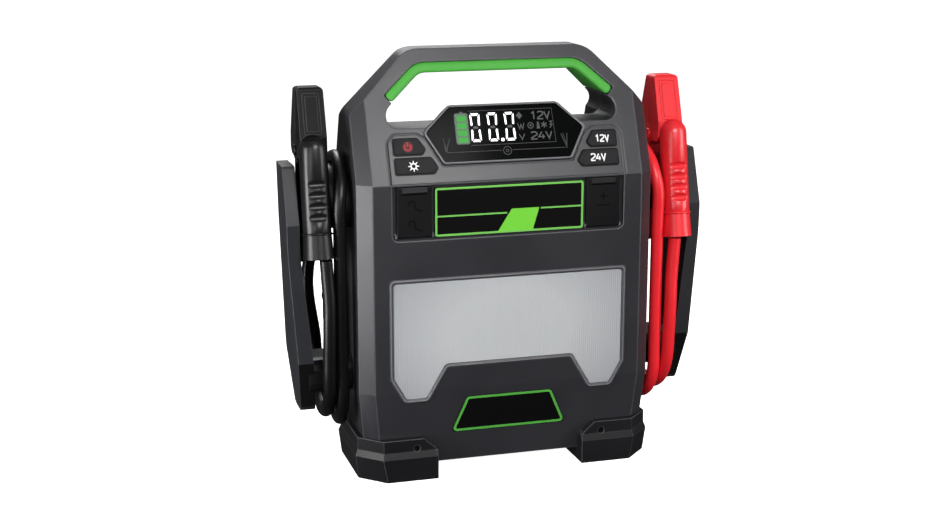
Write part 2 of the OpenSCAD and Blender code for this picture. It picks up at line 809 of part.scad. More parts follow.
module clamp_pin() in_clamp() {
    bar([-cheek_out - 0.5, 0, 0], [cheek_out + 0.5, 0, 0], pin_r);
    discs(cheek_out + 0.05, cheek_out + 1.5, 4.5);
}

// Coil round the pin with the leg that rests on the front handle.
module clamp_spring() in_clamp() {
    difference() {
        bar([-4.4, 0, 0], [4.4, 0, 0], 5);
        bar([-5, 0, 0], [5, 0, 0], 2.6);
    }
    bar([0, -3.8, -1], [0, -20.9, -22], 0.8);
}

// A copper jaw with its teeth, seated in the hood of the front half.
module jaw_plate() difference() {
    block([-7, -4.4, 11.4], [7, -0.5, hood_top - 2.4]);
    for (z = [16:5:42])
        translate([0, -0.5, z]) rotate([0, 90, 0]) cylinder(h = 20, r = 1.4, center = true);
}

module front_jaw() in_clamp() jaw_plate();
module rear_jaw() in_clamp() mirror([0, 1, 0]) jaw_plate();

module left_side() mirror([1, 0, 0]) children();

module black_clamp_front() color(BLACK) left_side() clamp_front();
module black_clamp_rear() color(BLACK) left_side() clamp_rear();
module black_clamp_boot() color(BLACK) left_side() clamp_boot();
module black_clamp_pin() color(DARK) left_side() clamp_pin();
module black_clamp_spring() color(STEEL) left_side() clamp_spring();
module black_front_jaw() color(COPPER) left_side() front_jaw();
module black_rear_jaw() color(COPPER) left_side() rear_jaw();
module red_clamp_front() color(RED) clamp_front();
module red_clamp_rear() color(RED) clamp_rear();
module red_clamp_boot() color(RED) clamp_boot();
module red_clamp_pin() color(RED) clamp_pin();
module red_clamp_spring() color(STEEL) clamp_spring();
module red_front_jaw() color(COPPER) front_jaw();
module red_rear_jaw() color(COPPER) rear_jaw();

front_shell();
rear_shell();
handle_grip();
console_panel();
display_bezel();
display_lens();
lcd_module();
power_button();
light_button();
volt12_button();
volt24_button();
control_board();
port_panel();
left_port_cover();
right_port_cover();
cover_pins();
usb_socket();
dc_output_socket();
dc_input_socket();
label_plate();
badge_plate();
work_light_lens();
light_reflector();
light_board();
battery_cells();
cell_trays();
busbars();
power_board();
start_relays();
left_foot();
right_foot();
foot_screws();
case_screws();
left_cleat();
right_cleat();
cleat_screws();
left_gland();
right_gland();
black_inner_lead();
red_inner_lead();
black_cable();
red_cable();
black_clamp_front();
black_clamp_rear();
black_clamp_boot();
black_clamp_pin();
black_clamp_spring();
black_front_jaw();
black_rear_jaw();
red_clamp_front();
red_clamp_rear();
red_clamp_boot();
red_clamp_pin();
red_clamp_spring();
red_front_jaw();
red_rear_jaw();
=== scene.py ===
# %% [markdown]
# # Dressing a jump starter pack
# The CAD parts of this pack already have their true sizes: a case with a carrying handle, a leaning
# console, a work light, two cleats and two clamps. What they lack is skin: the finish of each
# plastic and rubber, the leads as smooth curves, and everything that is printed or lit.
# This notebook adds these one after the other. All lengths are real ones. They are written in
# millimetres and turned to metres by one function, because Blender and the CAD frame use metres.

import math

import bmesh
import bpy
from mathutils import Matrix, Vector


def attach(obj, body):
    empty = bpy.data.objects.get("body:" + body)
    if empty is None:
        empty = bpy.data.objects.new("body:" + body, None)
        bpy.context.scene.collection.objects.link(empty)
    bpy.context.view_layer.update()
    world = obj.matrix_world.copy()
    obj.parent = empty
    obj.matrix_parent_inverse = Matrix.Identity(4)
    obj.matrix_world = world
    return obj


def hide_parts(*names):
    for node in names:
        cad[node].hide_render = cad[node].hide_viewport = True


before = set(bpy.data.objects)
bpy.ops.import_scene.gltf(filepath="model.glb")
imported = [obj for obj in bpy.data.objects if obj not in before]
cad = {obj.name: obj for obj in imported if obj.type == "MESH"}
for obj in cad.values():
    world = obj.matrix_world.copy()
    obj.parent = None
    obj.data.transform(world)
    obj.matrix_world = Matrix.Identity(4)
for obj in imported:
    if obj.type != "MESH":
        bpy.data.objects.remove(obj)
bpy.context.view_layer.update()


def mm(*lengths):
    """A place given in millimetres, in metres."""
    return Vector(lengths) / 1000


# %% [markdown]
# ## The camera
# A product shot of this kind is taken from a little above and from the left, with a long lens, so
# that upright edges stay nearly parallel. The camera is placed by the point it looks at, its
# distance and two angles, because these say more to a reader than an eye position would.

# %% Camera
AIM = mm(-36.6, -50, 176.57)
DISTANCE = 1277.79 / 1000
AZIMUTH = math.radians(-16.4065)
ELEVATION = math.radians(13.3422)
LENS_MM, SENSOR_MM = 61.74, 36

forward = Vector((
    -math.sin(AZIMUTH) * math.cos(ELEVATION),
    math.cos(AZIMUTH) * math.cos(ELEVATION),
    -math.sin(ELEVATION),
))
camera = bpy.data.objects.new("camera", bpy.data.cameras.new("camera"))
camera.data.lens = LENS_MM
camera.data.sensor_width = SENSOR_MM
camera.data.clip_end = 50  # metres, past the far side of the backdrop
camera.location = AIM - forward * DISTANCE
camera.rotation_euler = forward.to_track_quat("-Z", "Y").to_euler()
bpy.context.collection.objects.link(camera)
bpy.context.scene.camera = camera
print("camera at", [round(c, 3) for c in camera.location])

# %% [markdown]
# ## The two leads
# Each lead is a fixed length of thick rubber-covered copper. It comes down out of the gland in the
# side of the case, runs under the cleat, up in front of it, over its top, down behind, under it once
# more and up to the boot of its clamp: one and a half turns, the way such leads are put away.
# A Bezier curve passes through every point of the route, and with handles along the line between the
# two neighbours it keeps its bends round, which a chain of straight tubes would not.

# %% The route of a lead, in millimetres, on the right side
# The pivot of the clamp, the axis of its front handle, the end of the boot along that axis, and how
# far beside the axis the lead comes out there.
CLAMP_X, PIVOT_Y, PIVOT_Z = 151.4, 5.5, 266
GRIP_X, GRIP_Y = 1.4, -24
SPLAY = math.radians(9.8)
BOOT_LOW = -83
MOUTH_X, MOUTH_Y, MOUTH_Z = -4, -2, -0.8
# The winding: how far out and how far back its runs are, and between which heights.
LEAD_D = 10.4
RUN_X, UNDER_X, BEHIND_X, FRONT_X, GLAND_X = 146.6, 142.5, 134.8, 135.4, 131
RUN_Y, REAR_1, FRONT_2, REAR_2 = -34.6, 42, -31, 30
RUN_TOP, TOP_Z, LOW_Z, INNER_Z, GLAND_Z = 164, 222.8, 87, 72.7, 118
TOP_R = (REAR_1 - FRONT_2) / 2
LOW_R = (REAR_1 - RUN_Y) / 2
INNER_R = (REAR_2 - FRONT_2) / 2
RINGS = 9
# How far the lead leaves its straight line: in front, behind the arms of the cleat, and on top.
FRONT_BELLY, REAR_BELLY, TOP_BELLY = 1.5, 9.5, 5


def mix(a, b, t):
    return a + (b - a) * t


def ease(t):
    return t * t * (3 - 2 * t)


def lead_route(side, out):
    """Points from the gland to the boot, worked out from the boot backwards.

    side is -1 for the black lead and 1 for the red one. out is how far the last run stands outwards.
    """
    boot_x = CLAMP_X + GRIP_X + MOUTH_X
    boot_y = PIVOT_Y + GRIP_Y + BOOT_LOW * math.sin(SPLAY) + MOUTH_Y
    boot_z = PIVOT_Z + BOOT_LOW * math.cos(SPLAY) + MOUTH_Z
    route = [(boot_x + out, boot_y, boot_z), (boot_x - 0.6 + out, mix(boot_y, RUN_Y, 0.6), boot_z - LEAD_D)]
    for k in range(1, 5):  # down in front
        f = k / (RINGS / 2)
        y = RUN_Y - FRONT_BELLY * math.sin(math.pi * f)
        route.append((RUN_X + out * (1 - f), y, mix(RUN_TOP, LOW_Z + 4, f)))
    for k in range(RINGS + 1):  # under the cleat
        a = math.pi * k / RINGS
        y = RUN_Y + LOW_R - LOW_R * math.cos(a)
        route.append((mix(RUN_X, UNDER_X, k / RINGS), y, LOW_Z - LOW_R * math.sin(a)))
    for k in range(1, RINGS):  # up behind it
        f = k / RINGS
        x = mix(UNDER_X, BEHIND_X, ease(f)) + REAR_BELLY * math.sin(math.pi * f) ** 2
        route.append((x, REAR_1, mix(LOW_Z, TOP_Z, f)))
    for k in range(RINGS + 1):  # over its top
        a = math.pi * k / RINGS
        x = mix(BEHIND_X, FRONT_X, k / RINGS) - TOP_BELLY * math.sin(a)
        route.append((x, REAR_1 - TOP_R + TOP_R * math.cos(a), TOP_Z + TOP_R * math.sin(a)))
    for k in range(1, RINGS):  # down in front, inside the first run
        route.append((FRONT_X, FRONT_2, mix(TOP_Z, INNER_Z, k / RINGS)))
    for k in range(RINGS + 1):  # under it once more
        a = math.pi * k / RINGS
        y = FRONT_2 + INNER_R - INNER_R * math.cos(a)
        route.append((mix(FRONT_X, GLAND_X, k / RINGS), y, INNER_Z - INNER_R * math.sin(a)))
    route += [(GLAND_X, REAR_2, z) for z in (INNER_Z + 12, INNER_Z + 28, GLAND_Z)]
    return [mm(side * x, y, z) for x, y, z in reversed(route)]


# %% Draw the leads
def lead(name, side, out):
    route = lead_route(side, out)
    line = bpy.data.curves.new(name, "CURVE")
    line.dimensions = "3D"
    line.bevel_depth = 1.0  # each point's radius is then the lead's own, in metres
    line.bevel_resolution = 8
    line.resolution_u = 6
    line.use_fill_caps = True
    spline = line.splines.new("BEZIER")
    spline.bezier_points.add(len(route) - 1)
    for i, (point, place) in enumerate(zip(spline.bezier_points, route)):
        before, after = route[max(i - 1, 0)], route[min(i + 1, len(route) - 1)]
        along = (after - before).normalized()
        point.handle_left_type = point.handle_right_type = "FREE"
        point.co = place
        point.radius = LEAD_D / 2000
        point.handle_left = place - along * (place - before).length / 3
        point.handle_right = place + along * (after - place).length / 3
    made = bpy.data.objects.new(name, line)
    bpy.context.collection.objects.link(made)
    side_name = name.split("_")[0]
    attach(made, "case")
    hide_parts(side_name + "_cable")
    return made


black_lead = lead("black_lead_curve", -1, -1.4)
red_lead = lead("red_lead_curve", 1, 1.2)

# %% [markdown]
# ## Colours and shader nodes
# Colours are written as the hex values that a paint picker shows. Those are sRGB, and a shader
# counts in linear light, so one function turns the first into the second. Another adds a shader
# node together with its settings and its links, which keeps each material readable, and a third
# starts a material with the numbers that are the same all over its surface.


# %% Helpers for materials
def linear(hex_colour, gain=1.0):
    channels = [int(hex_colour[i : i + 2], 16) / 255 for i in (1, 3, 5)]
    return [gain * (c / 12.92 if c <= 0.04045 else ((c + 0.055) / 1.055) ** 2.4) for c in channels] + [1.0]


def add(tree, kind, settings=None, links=None):
    made = tree.nodes.new(kind)
    for name, value in (settings or {}).items():
        if name in made.inputs:
            made.inputs[name].default_value = value
        else:
            setattr(made, name, value)
    for name, source in (links or {}).items():
        tree.links.new(source, made.inputs[name])
    return made


def new_material(name, settings):
    """A material with those settings on its shader, with its nodes, its shader and its coordinates."""
    made = bpy.data.materials.new(name)
    made.use_nodes = True
    tree = made.node_tree
    skin = tree.nodes["Principled BSDF"]
    for socket, value in settings.items():
        skin.inputs[socket].default_value = value
    return made, tree, skin, add(tree, "ShaderNodeTexCoord").outputs["Object"]


# %% [markdown]
# ## Moulded plastics and rubbers
# Nearly everything on this pack comes out of a mould. The mould's wall is spark-eroded, so the skin
# is a fine grain with no direction, a tenth of a millimetre across. That is too fine to see here,
# so it is drawn about half a millimetre wide. The colour drifts by a few percent over the
# hand-sized areas where the melt cooled at its own pace, and hands leave some places smoother.
# Edges turn over a small radius, and on some parts a lighter colour is painted along them: a painted
# highlight.

# %% A moulded finish
PATCH_SCALE = 14.0  # patches about 70 mm across
NOISE_LOW, NOISE_HIGH = 0.3, 0.7  # the noise seldom goes beyond these
HANDLED = 0.05
FULL_EDGE_HIGHLIGHT = 0.93  # the cosine between an edge's flat and rounded normals where the painted highlight is full


def moulded(name, colour, roughness, grain_mm=0.5, grain_depth_mm=0.02, ior=1.5, drift=0.08, coat=0.0,
            shine=0.5, round_mm=0, edge_highlight_colour=""):
    made, tree, skin, place = new_material(
        name, {"IOR": ior, "Specular IOR Level": shine, "Coat Weight": coat, "Coat Roughness": 0.25},
    )
    cloud = add(tree, "ShaderNodeTexNoise", {"Scale": PATCH_SCALE, "Detail": 3.0}, {"Vector": place})
    tone = add(tree, "ShaderNodeValToRGB", links={"Fac": cloud.outputs["Fac"]})
    darker, lighter = tone.color_ramp.elements
    darker.position, darker.color = NOISE_LOW, linear(colour, 1 - drift)
    lighter.position, lighter.color = NOISE_HIGH, linear(colour, 1 + drift)
    tree.links.new(tone.outputs["Color"], skin.inputs["Base Color"])
    handled = add(
        tree, "ShaderNodeMapRange",
        {"From Min": NOISE_LOW, "From Max": NOISE_HIGH,
         "To Min": roughness - HANDLED, "To Max": roughness + HANDLED},
        {"Value": cloud.outputs["Fac"]},
    )
    tree.links.new(handled.outputs["Result"], skin.inputs["Roughness"])
    grain = add(tree, "ShaderNodeTexNoise", {"Scale": 1000 / grain_mm, "Detail": 1.0}, {"Vector": place})
    relief = add(
        tree, "ShaderNodeBump", {"Strength": 0.6, "Distance": grain_depth_mm / 1000},
        {"Height": grain.outputs["Fac"]},
    )
    tree.links.new(relief.outputs["Normal"], skin.inputs["Normal"])
    if round_mm:
        rounded_edge = add(tree, "ShaderNodeBevel", {"samples": 6, "Radius": round_mm / 1000})
        tree.links.new(rounded_edge.outputs["Normal"], relief.inputs["Normal"])
    # A lighter colour painted along the rounded edges: a painted highlight where the edges catch the lamps.
    if round_mm and edge_highlight_colour:
        flat = add(tree, "ShaderNodeNewGeometry")
        turn = add(tree, "ShaderNodeVectorMath", {"operation": "DOT_PRODUCT"})
        tree.links.new(rounded_edge.outputs["Normal"], turn.inputs[0])
        tree.links.new(flat.outputs["Normal"], turn.inputs[1])
        edge = add(
            tree, "ShaderNodeMapRange",
            {"From Min": FULL_EDGE_HIGHLIGHT, "From Max": 1.0, "To Min": 1.0, "To Max": 0.0},
            {"Value": turn.outputs["Value"]},
        )
        painted_edge_highlight = add(
            tree, "ShaderNodeMixRGB", {"Color2": linear(edge_highlight_colour)},
            {"Fac": edge.outputs["Result"], "Color1": tone.outputs["Color"]},
        )
        tree.links.new(painted_edge_highlight.outputs["Color"], skin.inputs["Base Color"])
    return made


# %% Plastics of the case
# Charcoal ABS, moulded against a spark-eroded wall: dark, satin, with broad soft highlights.
# The lighter colour along its edges is a painted highlight.
case_abs = moulded(
    "charcoal_abs_spark_eroded", "#26262a", 0.38, shine=0.5, round_mm=1.8, edge_highlight_colour="#56565a",
)
# The console panel is the same ABS, from a finer wall: a little lighter.
console_abs = moulded(
    "charcoal_abs_fine_grain", "#28282b", 0.38, grain_mm=0.4, grain_depth_mm=0.015, shine=0.52, round_mm=0.8,
)
# The beads are polished grey ABS, lighter than the case: a painted highlight, so that they show as thin
# light lines.
bead_abs_painted_highlight = moulded("grey_abs_painted_highlight", "#66666a", 0.35, grain_mm=0.4, grain_depth_mm=0.01, shine=0.5)
# The frame of the display, black ABS from a polished mould.
bezel_abs = moulded("black_abs_polished", "#101011", 0.3, grain_mm=0.8, grain_depth_mm=0.005, shine=0.3)
# White ABS of the trays that hold the cells, unpolished.
tray_abs = moulded("white_abs_plain", "#d8d8d4", 0.5)
# Glass-filled nylon of the cleats, a little drier than the case.
# The lighter colour along their edges is a painted highlight.
cleat_nylon = moulded(
    "dark_glass_filled_nylon", "#252629", 0.45, grain_mm=0.6, grain_depth_mm=0.03, ior=1.53,
    shine=0.19, round_mm=1.0, edge_highlight_colour="#4c4d50",
)
# Their arms, polished by the rubber of the leads, are near black: painted shade, for the shade that falls on
# them between the wing, the case and the leads.
shaded_arm_nylon = moulded(
    "glass_filled_nylon_painted_shade", "#0c0c0d", 0.4, grain_mm=0.6, grain_depth_mm=0.02, ior=1.53,
    shine=0.25, round_mm=0.8,
)
# Green epoxy glass board under solder resist: smooth, with the weave just showing.
board_epoxy = moulded(
    "green_epoxy_glass_board", "#1c5a34", 0.35, grain_mm=1.2, grain_depth_mm=0.02, ior=1.55,
    drift=0.12, coat=0.3,
)

# %% Plastics of the clamps
# Polypropylene of the clamp halves, smooth from a polished mould, so highlights are tighter.
black_polypropylene = moulded(
    "black_polypropylene_smooth", "#0f0f10", 0.32, grain_mm=0.8, grain_depth_mm=0.01, ior=1.49,
    shine=0.4, round_mm=1.2,
)
red_polypropylene = moulded(
    "red_polypropylene_smooth", "#dd212a", 0.32, grain_mm=0.8, grain_depth_mm=0.01, ior=1.49,
    drift=0.05, shine=0.6, round_mm=1.2,
)
# The hoods over the jaws come from a blasted wall, so they are duller than the handles.
# The lighter colour along their edges is a painted highlight.
black_polypropylene_blasted = moulded(
    "black_polypropylene_blasted", "#101011", 0.44, grain_mm=0.6, grain_depth_mm=0.03, ior=1.49,
    shine=0.07, round_mm=1.0, edge_highlight_colour="#505052",
)
red_polypropylene_blasted = moulded(
    "red_polypropylene_blasted", "#e0222b", 0.45, grain_mm=0.6, grain_depth_mm=0.03, ior=1.49,
    drift=0.05, shine=0.35, round_mm=1.2,
)

# %% The pack's rubbers
# Over-moulded thermoplastic elastomer on the handle: saturated green, soft to the eye, hardly glossy.
grip_elastomer = moulded(
    "green_elastomer_soft_touch", "#459c39", 0.55, grain_mm=0.7, grain_depth_mm=0.03, ior=1.48,
    drift=0.05, shine=0.3, round_mm=2.0,
)
# Silicone caps over the switches: dark grey, dull.
button_silicone = moulded(
    "dark_grey_silicone", "#1b1b1d", 0.5, grain_mm=0.5, grain_depth_mm=0.015, ior=1.43,
    shine=0.16, round_mm=0.8,
)
# Thermoplastic polyurethane of the port covers: nearly black, matt.
cover_polyurethane = moulded(
    "black_polyurethane_matt", "#0c0c0e", 0.42, grain_mm=0.6, grain_depth_mm=0.02, ior=1.5,
    shine=0.2, round_mm=0.8,
)
# Moulded natural rubber under the case: black, slightly grey from bloom.
# The lighter colour along its edges is a painted highlight.
foot_rubber = moulded(
    "black_rubber_with_bloom", "#161618", 0.42, grain_mm=0.8, grain_depth_mm=0.04, ior=1.52,
    drift=0.15, shine=0.17, round_mm=0.9, edge_highlight_colour="#5c5c60",
)
# Chloroprene jacket of the black lead, and silicone jacket of the red one: extruded, so they shine
# a little along their length.
black_jacket = moulded(
    "black_chloroprene_jacket", "#070708", 0.34, grain_mm=1.5, grain_depth_mm=0.03, ior=1.5, shine=0.35,
)
red_jacket = moulded(
    "red_silicone_jacket", "#e6222b", 0.36, grain_mm=1.5, grain_depth_mm=0.03, ior=1.45,
    drift=0.06, shine=0.5,
)
print(len(bpy.data.materials), "materials so far")

# %% [markdown]
# ## Finishes that aren't moulded
# The lens is smoked acrylic, polished, over a black mask, so it is near black with one clean
# reflection. Plates are printed polycarbonate film. Metals keep the default IOR and take
# their colour from the metal itself. All have a fine speckle, just enough to break a flat tone.


# %% Films, inks and metals
def plain_skin(name, colour, roughness, metallic=0.0, glow=0.0, speckle_mm=0.8, depth_mm=0.004,
               drift=0.05, shine=0.5):
    made, tree, skin, place = new_material(
        name, {"Metallic": metallic, "Specular IOR Level": shine, "Roughness": roughness},
    )
    speckle = add(tree, "ShaderNodeTexNoise", {"Scale": 1000 / speckle_mm, "Detail": 2.0}, {"Vector": place})
    tone = add(tree, "ShaderNodeValToRGB", links={"Fac": speckle.outputs["Fac"]})
    darker, lighter = tone.color_ramp.elements
    darker.color = linear(colour, 1 - drift)
    lighter.color = linear(colour, 1 + drift)
    tree.links.new(tone.outputs["Color"], skin.inputs["Base Color"])
    relief = add(
        tree, "ShaderNodeBump", {"Strength": 0.4, "Distance": depth_mm / 1000},
        {"Height": speckle.outputs["Fac"]},
    )
    tree.links.new(relief.outputs["Normal"], skin.inputs["Normal"])
    if glow:
        skin.inputs["Emission Color"].default_value = linear(colour)
        skin.inputs["Emission Strength"].default_value = glow
    return made


lens_acrylic = plain_skin("smoked_acrylic_polished", "#090a0a", 0.12, shine=0.02)
plate_film = plain_skin("black_polycarbonate_film", "#090909", 0.4, shine=0.1)
# Screen inks lie on the film in a thin even layer, and are nearly matt.
green_ink = plain_skin("green_screen_ink", "#6fb554", 0.5, shine=0.15)
deep_green_ink = plain_skin("deep_green_screen_ink", "#4d9c3e", 0.5, shine=0.15)
block_ink = plain_skin("bright_green_screen_ink", "#6cc23a", 0.5, shine=0.15)
white_ink = plain_skin("white_screen_ink", "#e6e6e6", 0.5, shine=0.15)
grey_ink = plain_skin("grey_screen_ink", "#4a4a4c", 0.4, shine=0.15)
faint_ink = plain_skin("faint_grey_screen_ink", "#343436", 0.4, shine=0.15)
red_ink = plain_skin("red_translucent_ink", "#a8333a", 0.5, shine=0.15)
red_halo_ink = plain_skin("dark_red_translucent_ink", "#52282c", 0.5, shine=0.15)
# Liquid-crystal segments with a lamp behind them: they give light of their own.
white_segment = plain_skin("white_lit_segment", "#ffffff", 0.4, glow=1.0)
green_segment = plain_skin("green_lit_segment", "#2f7d30", 0.4, glow=0.75, shine=0.1)
green_glow = plain_skin("dim_green_lit_mask", "#1d4a20", 0.4, glow=0.35)
# Metals inside the case and in the clamps: plated, oxidised, stamped or drawn, and all satin.
zinc_steel = plain_skin("zinc_plated_steel", "#9a9da0", 0.32, metallic=1.0)
blued_steel = plain_skin("black_oxide_steel", "#2c2d30", 0.4, metallic=1.0)
copper_stamped = plain_skin("stamped_copper", "#c07a55", 0.3, metallic=1.0)
cell_aluminium = plain_skin("drawn_aluminium_can", "#b4b8bd", 0.35, metallic=1.0)
print(len(bpy.data.materials), "materials in all")

# %% [markdown]
# ## The opal cover of the work light
# The cover is opal polycarbonate: white powder in the plastic spreads the light of the lamps
# behind it, so the cover looks pale. Its colour is painted a little greyer towards its rim: painted
# shade, where the reflector behind it ends. Fine upright ribs on its face spread the light sideways.

# %% Opal polycarbonate
opal_cover = plain_skin("opal_polycarbonate_ribbed", "#b0b2b4", 0.4, drift=0.015, shine=0.2)
opal_tree = opal_cover.node_tree
opal_skin = opal_tree.nodes["Principled BSDF"]
opal_skin.inputs["IOR"].default_value = 1.58
opal_skin.inputs["Subsurface Weight"].default_value = 0.15
opal_skin.inputs["Subsurface Radius"].default_value = (0.004, 0.004, 0.004)

# %% Painted shade towards the rim
# The distance from the middle is counted so that it is 1 on an oval a little larger than the cover.
OVAL_HALF_WIDTH, OVAL_HALF_HEIGHT, OVAL_Z = 0.13, 0.09, 0.118
EVEN_UP_TO = 0.4
RIM_PAINTED_SHADE = (0.64, 0.64, 0.66, 1)
opal_place = add(opal_tree, "ShaderNodeTexCoord")
from_middle = add(
    opal_tree, "ShaderNodeVectorMath", {"operation": "MULTIPLY_ADD"},
    {"Vector": opal_place.outputs["Object"]},
)
from_middle.inputs[1].default_value = (1 / OVAL_HALF_WIDTH, 0, 1 / OVAL_HALF_HEIGHT)
from_middle.inputs[2].default_value = (0, 0, -OVAL_Z / OVAL_HALF_HEIGHT)
distance = add(
    opal_tree, "ShaderNodeVectorMath", {"operation": "LENGTH"}, {"Vector": from_middle.outputs["Vector"]},
)
to_rim = add(
    opal_tree, "ShaderNodeMapRange", {"From Min": EVEN_UP_TO, "From Max": 1.0},
    {"Value": distance.outputs["Value"]},
)
# Painted shade: the colour is multiplied towards grey near the rim.
painted_rim_shade = add(
    opal_tree, "ShaderNodeMixRGB", {"blend_type": "MULTIPLY", "Color2": RIM_PAINTED_SHADE},
    {"Fac": to_rim.outputs["Result"], "Color1": opal_skin.inputs["Base Color"].links[0].from_socket},
)
opal_tree.links.new(painted_rim_shade.outputs["Color"], opal_skin.inputs["Base Color"])

# %% [markdown]
# ## Dressing the CAD parts
# Every CAD part keeps its shape and gets its finish by name from one table, so none is forgotten,
# and a finish is changed in one place. Two kinds of part have a second finish on some of their
# faces, which are picked by where their corners lie: the hoods of the clamps, and the arms of the
# cleats, whose near-black finish is painted shade.

# %% Give every CAD node its finish
FINISH = {
    case_abs: ["front_shell", "rear_shell", "port_panel"],
    console_abs: ["console_panel"],
    grip_elastomer: ["handle_grip"],
    bezel_abs: ["display_bezel"],
    lens_acrylic: ["display_lens"],
    button_silicone: ["power_button", "light_button", "volt12_button", "volt24_button"],
    cover_polyurethane: ["left_port_cover", "right_port_cover"],
    plate_film: ["label_plate", "badge_plate"],
    opal_cover: ["work_light_lens", "light_reflector"],
    foot_rubber: ["left_foot", "right_foot", "left_gland", "right_gland"],
    cleat_nylon: ["left_cleat", "right_cleat", "dc_output_socket", "dc_input_socket", "start_relays",
                  "lcd_module"],
    black_polypropylene: ["black_clamp_front", "black_clamp_rear", "black_clamp_pin"],
    red_polypropylene: ["red_clamp_front", "red_clamp_rear", "red_clamp_pin"],
    black_jacket: ["black_clamp_boot", "black_inner_lead", "black_cable"],
    red_jacket: ["red_clamp_boot", "red_inner_lead", "red_cable"],
    board_epoxy: ["control_board", "light_board", "power_board"],
    tray_abs: ["cell_trays"],
    cell_aluminium: ["battery_cells", "usb_socket"],
    copper_stamped: ["busbars", "black_front_jaw", "black_rear_jaw", "red_front_jaw", "red_rear_jaw"],
    zinc_steel: ["cover_pins", "black_clamp_spring", "red_clamp_spring"],
    blued_steel: ["foot_screws", "case_screws", "cleat_screws"],
}
for finish, names in FINISH.items():
    for name in names:
        slots = cad[name].material_slots
        for slot in slots:
            slot.material = finish
        if not slots:
            cad[name].data.materials.append(finish)
black_lead.data.materials.append(black_jacket)
red_lead.data.materials.append(red_jacket)
print("without a finish:", sorted(set(cad) - {name for names in FINISH.values() for name in names}))

# %% A second finish on some parts
HOOD_FOOT_Z = PIVOT_Z + 11
ARM_END_X = 160.5


def second_finish(node, finish, belongs):
    """Gives a node's faces another finish where belongs is true for their corners."""
    part = cad[node]
    part.data.materials.append(finish)
    for face in part.data.polygons:
        if belongs([part.matrix_world @ part.data.vertices[i].co for i in face.vertices]):
            face.material_index = 1


def on_the_hood(corners):
    return max(corner.z for corner in corners) * 1000 > HOOD_FOOT_Z


def on_an_arm(corners):
    return max(abs(corner.x) for corner in corners) * 1000 < ARM_END_X


for half in ("front", "rear"):
    second_finish(f"black_clamp_{half}", black_polypropylene_blasted, on_the_hood)
    second_finish(f"red_clamp_{half}", red_polypropylene_blasted, on_the_hood)
# The arms of the cleats get the near-black finish: painted shade.
second_finish("left_cleat", shaded_arm_nylon, on_an_arm)
second_finish("right_cleat", shaded_arm_nylon, on_an_arm)

# %% [markdown]
# ## Soft edges
# No moulded edge is sharp: the mould is cut with a small radius, and that radius is what catches
# the light. CAD edges are sharp, so each visible part gets a bevel of its true radius. Before it,
# the points that the CAD export doubled along edges are joined, and flat faces are made whole.

# %% Bevel the visible parts
EDGE_MM = {
    0.7: ["front_shell", "rear_shell", "left_cleat", "right_cleat"],
    3.0: ["handle_grip"],
    1.0: ["left_foot", "right_foot"],
    0.5: ["console_panel", "black_clamp_front", "red_clamp_front", "black_clamp_rear", "red_clamp_rear"],
    0.3: ["display_bezel", "display_lens", "power_button", "light_button", "volt12_button", "volt24_button",
          "left_port_cover", "right_port_cover", "work_light_lens", "badge_plate", "label_plate",
          "port_panel"],
}
JOIN_MM = 0.02
FLAT_TURN = math.radians(0.6)
EDGE_TURN = math.radians(28)


def soften(part, radius_mm):
    joined = part.modifiers.new("join doubled points", "WELD")
    joined.merge_threshold = JOIN_MM / 1000
    whole = part.modifiers.new("whole flat faces", "DECIMATE")
    whole.decimate_type = "DISSOLVE"
    whole.angle_limit = FLAT_TURN
    edge = part.modifiers.new("mould radius", "BEVEL")
    edge.width = radius_mm / 1000
    edge.segments = 2
    edge.limit_method = "ANGLE"
    edge.angle_limit = EDGE_TURN
    edge.harden_normals = True


for radius_mm, names in EDGE_MM.items():
    for name in names:
        soften(cad[name], radius_mm)
print(sum(len(names) for names in EDGE_MM.values()), "parts bevelled")

# %% [markdown]
# ## Drawing on the faces
# Marks are printed or lit from behind, so they have shape but next to no thickness. Each is drawn
# as flat faces a few hundredths of a millimetre above its surface: real shapes stay crisp at any
# distance, and need no picture file. A place on the console is given by its distance
# from the middle and its distance up the slope from the crease below the console.

# %% Where a mark sits
FRONT_Y = -50
CREASE_Z = 243
LEAN = 0.4
SLOPE = math.hypot(1, LEAN)
TAPER_Z = 73
TAPER = math.atan(4.5 / 62)


def on_console(x, up, lift):
    """A point on the leaning console, lift millimetres in front of its face."""
    return mm(x, FRONT_Y + (up * LEAN - lift) / SLOPE, CREASE_Z + (up + lift * LEAN) / SLOPE)


def on_taper(x, z, lift):
    """A point on the tapered front below the work light, lift millimetres in front of its face."""
    up = z - TAPER_Z
    y = FRONT_Y - up * math.sin(TAPER) - lift * math.cos(TAPER)
    return mm(x, y, TAPER_Z + up * math.cos(TAPER) - lift * math.sin(TAPER))


def on_upright(depth):
    """Places on an upright face at that depth."""
    return lambda x, z, lift: mm(x, depth - lift, z)


# %% Outlines and lines
ARC_STEPS = 5
LONGEST_MITRE = 0.35


def oblong(left, low, right, high):
    return [(left, low), (right, low), (right, high), (left, high)]


def around(x, y, radius, angles):
    """Points on a circle at those angles, in degrees."""
    return [(x + radius * math.cos(math.radians(a)), y + radius * math.sin(math.radians(a))) for a in angles]


def rounded(corners, radius):
    """A closed outline with each corner turned into an arc of the radius."""
    outline = []
    for i, corner in enumerate(corners):
        here = Vector(corner)
        before, after = Vector(corners[i - 1]) - here, Vector(corners[(i + 1) % len(corners)]) - here
        reach = min(radius / math.tan(before.angle(after) / 2), before.length * 0.45, after.length * 0.45)
        start, end = here + before.normalized() * reach, here + after.normalized() * reach
        for step in range(ARC_STEPS + 1):
            t = step / ARC_STEPS
            outline.append(tuple(start * (1 - t) ** 2 + here * 2 * t * (1 - t) + end * t**2))
    return outline


